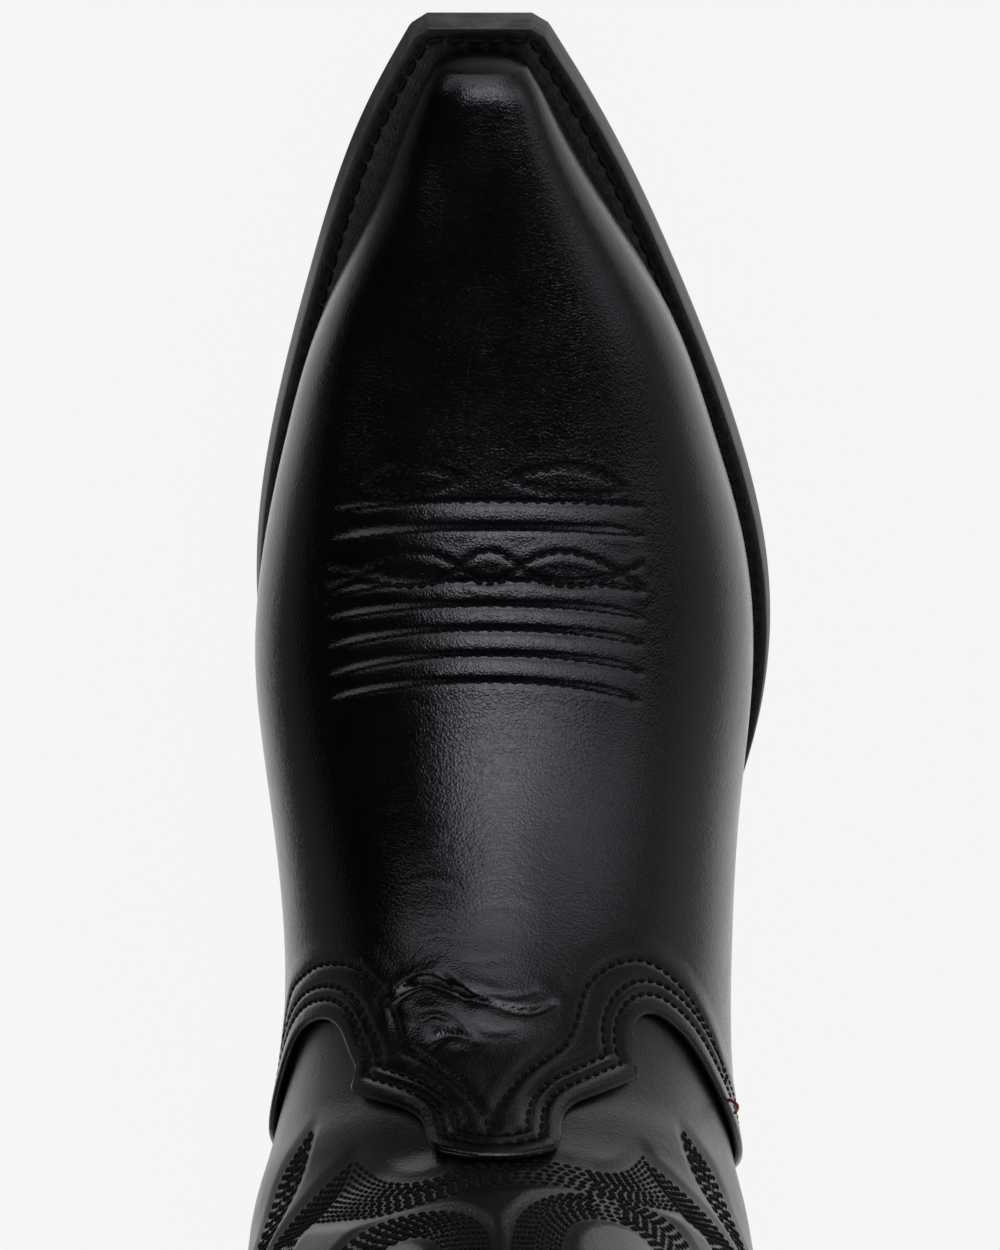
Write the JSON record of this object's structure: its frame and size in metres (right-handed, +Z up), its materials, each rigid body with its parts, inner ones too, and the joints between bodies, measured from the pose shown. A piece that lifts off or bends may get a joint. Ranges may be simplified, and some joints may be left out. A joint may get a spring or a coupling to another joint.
{
  "type": "cowboy boot",
  "caption": "Right-foot western boot with a snip toe, corded stitching on the vamp, a tall scalloped shaft, pull straps and a stacked underslung heel.",
  "frame": {"origin": "centre of the bounding box's bottom face: on the floor, midway between toe and heel and midway across", "axes": "+X towards the medial (big-toe) side, +Y from the toe to the heel, +Z up the shaft"},
  "size_m": [0.1109, 0.31, 0.3589],
  "materials": {
    "vamp_leather": "smooth black leather with a soft satin polish and fine grain",
    "shaft_leather": "soft black leather, a little more matt than the vamp",
    "trim_leather": "thin black leather, satin",
    "lining_leather": "undyed tan lining leather, matt",
    "stiffener_board": "pressed leather board, matt",
    "sole_leather": "dark brown-black leather with a dressed edge",
    "welt_leather": "black-dressed leather, satin",
    "insole_leather": "undyed leather, matt",
    "cork": "compressed cork, matt",
    "heel_leather": "stacked leather with a black dressed edge, satin",
    "heel_rubber": "black rubber, matt",
    "stitch_thread": "waxed black thread",
    "steel": "plain steel"
  },
  "bodies": {
    "root": {"cork_filler": "cork", "counter_cover": "vamp_leather", "heel_cap": "heel_rubber", "heel_lift_1": "heel_leather", "heel_lift_2": "heel_leather", "heel_lift_3": "heel_leather", "heel_lift_4": "heel_leather", "heel_lift_5": "heel_leather", "heel_nail_1": "steel", "heel_nail_2": "steel", "heel_nail_3": "steel", "heel_nail_4": "steel", "heel_nail_5": "steel", "heel_rand": "welt_leather", "heel_stiffener": "stiffener_board", "insole": "insole_leather", "outsole": "sole_leather", "pull_strap_lateral": "trim_leather", "pull_strap_medial": "trim_leather", "shaft_back": "shaft_leather", "shaft_front": "shaft_leather", "shaft_lining_back": "lining_leather", "shaft_lining_front": "lining_leather", "shank": "steel", "side_piping_lateral": "trim_leather", "side_piping_medial": "trim_leather", "sock_lining": "lining_leather", "toe_puff": "stiffener_board", "top_binding": "trim_leather", "vamp": "vamp_leather", "vamp_lining": "lining_leather", "welt": "welt_leather"}
  },
  "joints": []
}
